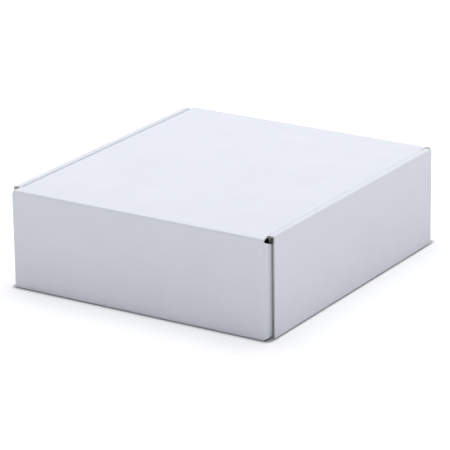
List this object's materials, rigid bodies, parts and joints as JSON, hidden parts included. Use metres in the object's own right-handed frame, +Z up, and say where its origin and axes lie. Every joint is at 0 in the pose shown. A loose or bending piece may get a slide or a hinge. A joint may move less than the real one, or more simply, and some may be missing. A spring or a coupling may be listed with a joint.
{
  "type": "corrugated mailer box",
  "caption": "White corrugated mailer box with rolled double side walls and a hinged tuck-in lid with side wings.",
  "frame": {"origin": "middle of the base, on the surface that the box stands on", "axes": "+Y from the hinge panel to the front panel, the longest side; +X across the box; +Z up"},
  "size_m": [0.294, 0.322, 0.1008],
  "materials": {
    "white_board": "matt white-lined fine-flute corrugated board"
  },
  "bodies": {
    "tray": {"tray": "white_board"},
    "lid": {"lid": "white_board"}
  },
  "joints": [
    {"name": "lid_hinge", "type": "hinge", "parent": "tray", "child": "lid", "pos_m": [0, -0.16038, 0.09939], "axis": [1, 0, 0], "range_deg": [0, 170]}
  ]
}
